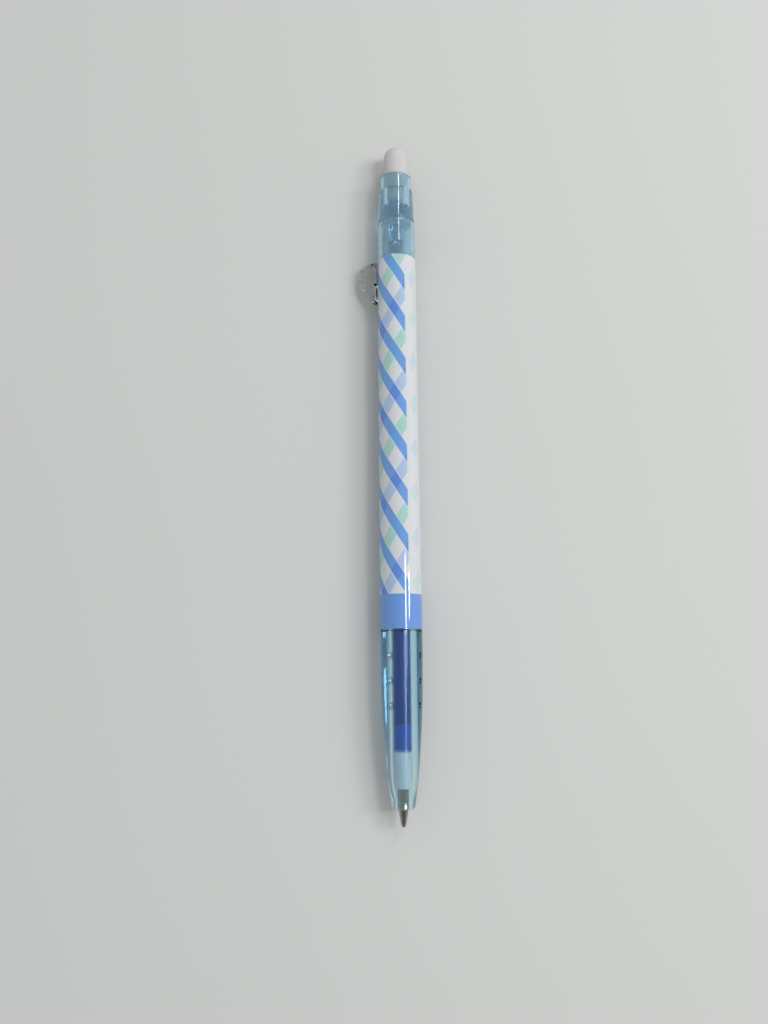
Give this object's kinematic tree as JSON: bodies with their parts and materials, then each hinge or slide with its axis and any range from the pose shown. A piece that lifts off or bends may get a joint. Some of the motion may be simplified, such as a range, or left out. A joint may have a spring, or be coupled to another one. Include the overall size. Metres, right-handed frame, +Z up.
{
  "type": "retractable fabric marking pen",
  "caption": "Slim retractable fabric marking pen: clear barrel under a plaid printed film, rubbing dome at the rear, short clip that is the push knob, dimpled clear grip and metal point.",
  "frame": {"origin": "bottom centre of the pen's box, on the table that the pen lies on", "axes": "+Z up from the table, +Y along the pen towards the rubber dome, the point towards -Y, the clip stands out towards -X and slopes down to the table"},
  "size_m": [0.0122, 0.1411, 0.0084],
  "materials": {
    "clear_blue_plastic": "clear pale blue moulded plastic",
    "clear_plastic": "colourless clear moulded plastic",
    "printed_film": "printed plastic film, plaid of blue, mint and pale blue on white",
    "pale_rubber": "translucent pale rubber",
    "white_plastic": "white moulded plastic",
    "natural_plastic": "natural translucent moulded plastic",
    "blue_plastic": "blue moulded plastic",
    "clear_tube": "clear extruded tube",
    "blue_ink": "dark blue ink",
    "clear_grease": "clear grease",
    "nickel_silver": "turned and polished nickel silver",
    "hard_metal": "ground hard metal ball",
    "spring_steel": "drawn spring steel wire"
  },
  "bodies": {
    "barrel": {"rear_barrel": "clear_blue_plastic", "front_barrel": "clear_blue_plastic", "pattern_wrap": "printed_film", "tail_plug": "clear_blue_plastic", "eraser_rubber": "pale_rubber", "cam_sleeve": "natural_plastic", "spring_seat": "natural_plastic"},
    "knock": {"clip_knob": "clear_plastic", "knock_slider": "natural_plastic"},
    "refill": {"refill_tube": "clear_tube", "refill_cap": "blue_plastic", "ink_column": "blue_ink", "ink_follower": "clear_grease", "tip_holder": "white_plastic", "point_tube": "nickel_silver", "point_spring": "spring_steel", "spring_collar": "natural_plastic", "return_spring": "spring_steel"},
    "rotor": {"rotor": "white_plastic"},
    "ball": {"writing_ball": "hard_metal"}
  },
  "joints": [
    {"name": "knock_slide", "type": "slide", "parent": "barrel", "child": "knock", "axis": [0, 1, 0], "range_m": [-0.0008, 0.005], "stiffness_N_per_m": 120},
    {"name": "refill_slide", "type": "slide", "parent": "barrel", "child": "refill", "axis": [0, 1, 0], "range_m": [-0.0008, 0.005], "deforming": ["return_spring"]},
    {"name": "rotor_turn", "type": "hinge", "parent": "refill", "child": "rotor", "pos_m": [0.00193, 0.0251, 0.0042], "axis": [0, 1, 0], "continuous": true},
    {"name": "ball_spin", "type": "hinge", "parent": "refill", "child": "ball", "pos_m": [0.00193, -0.0702, 0.0042], "axis": [0, 1, 0], "continuous": true}
  ],
  "couplings": [
    {"joint": "refill_slide", "follows": "knock_slide", "ratio": 1}
  ]
}
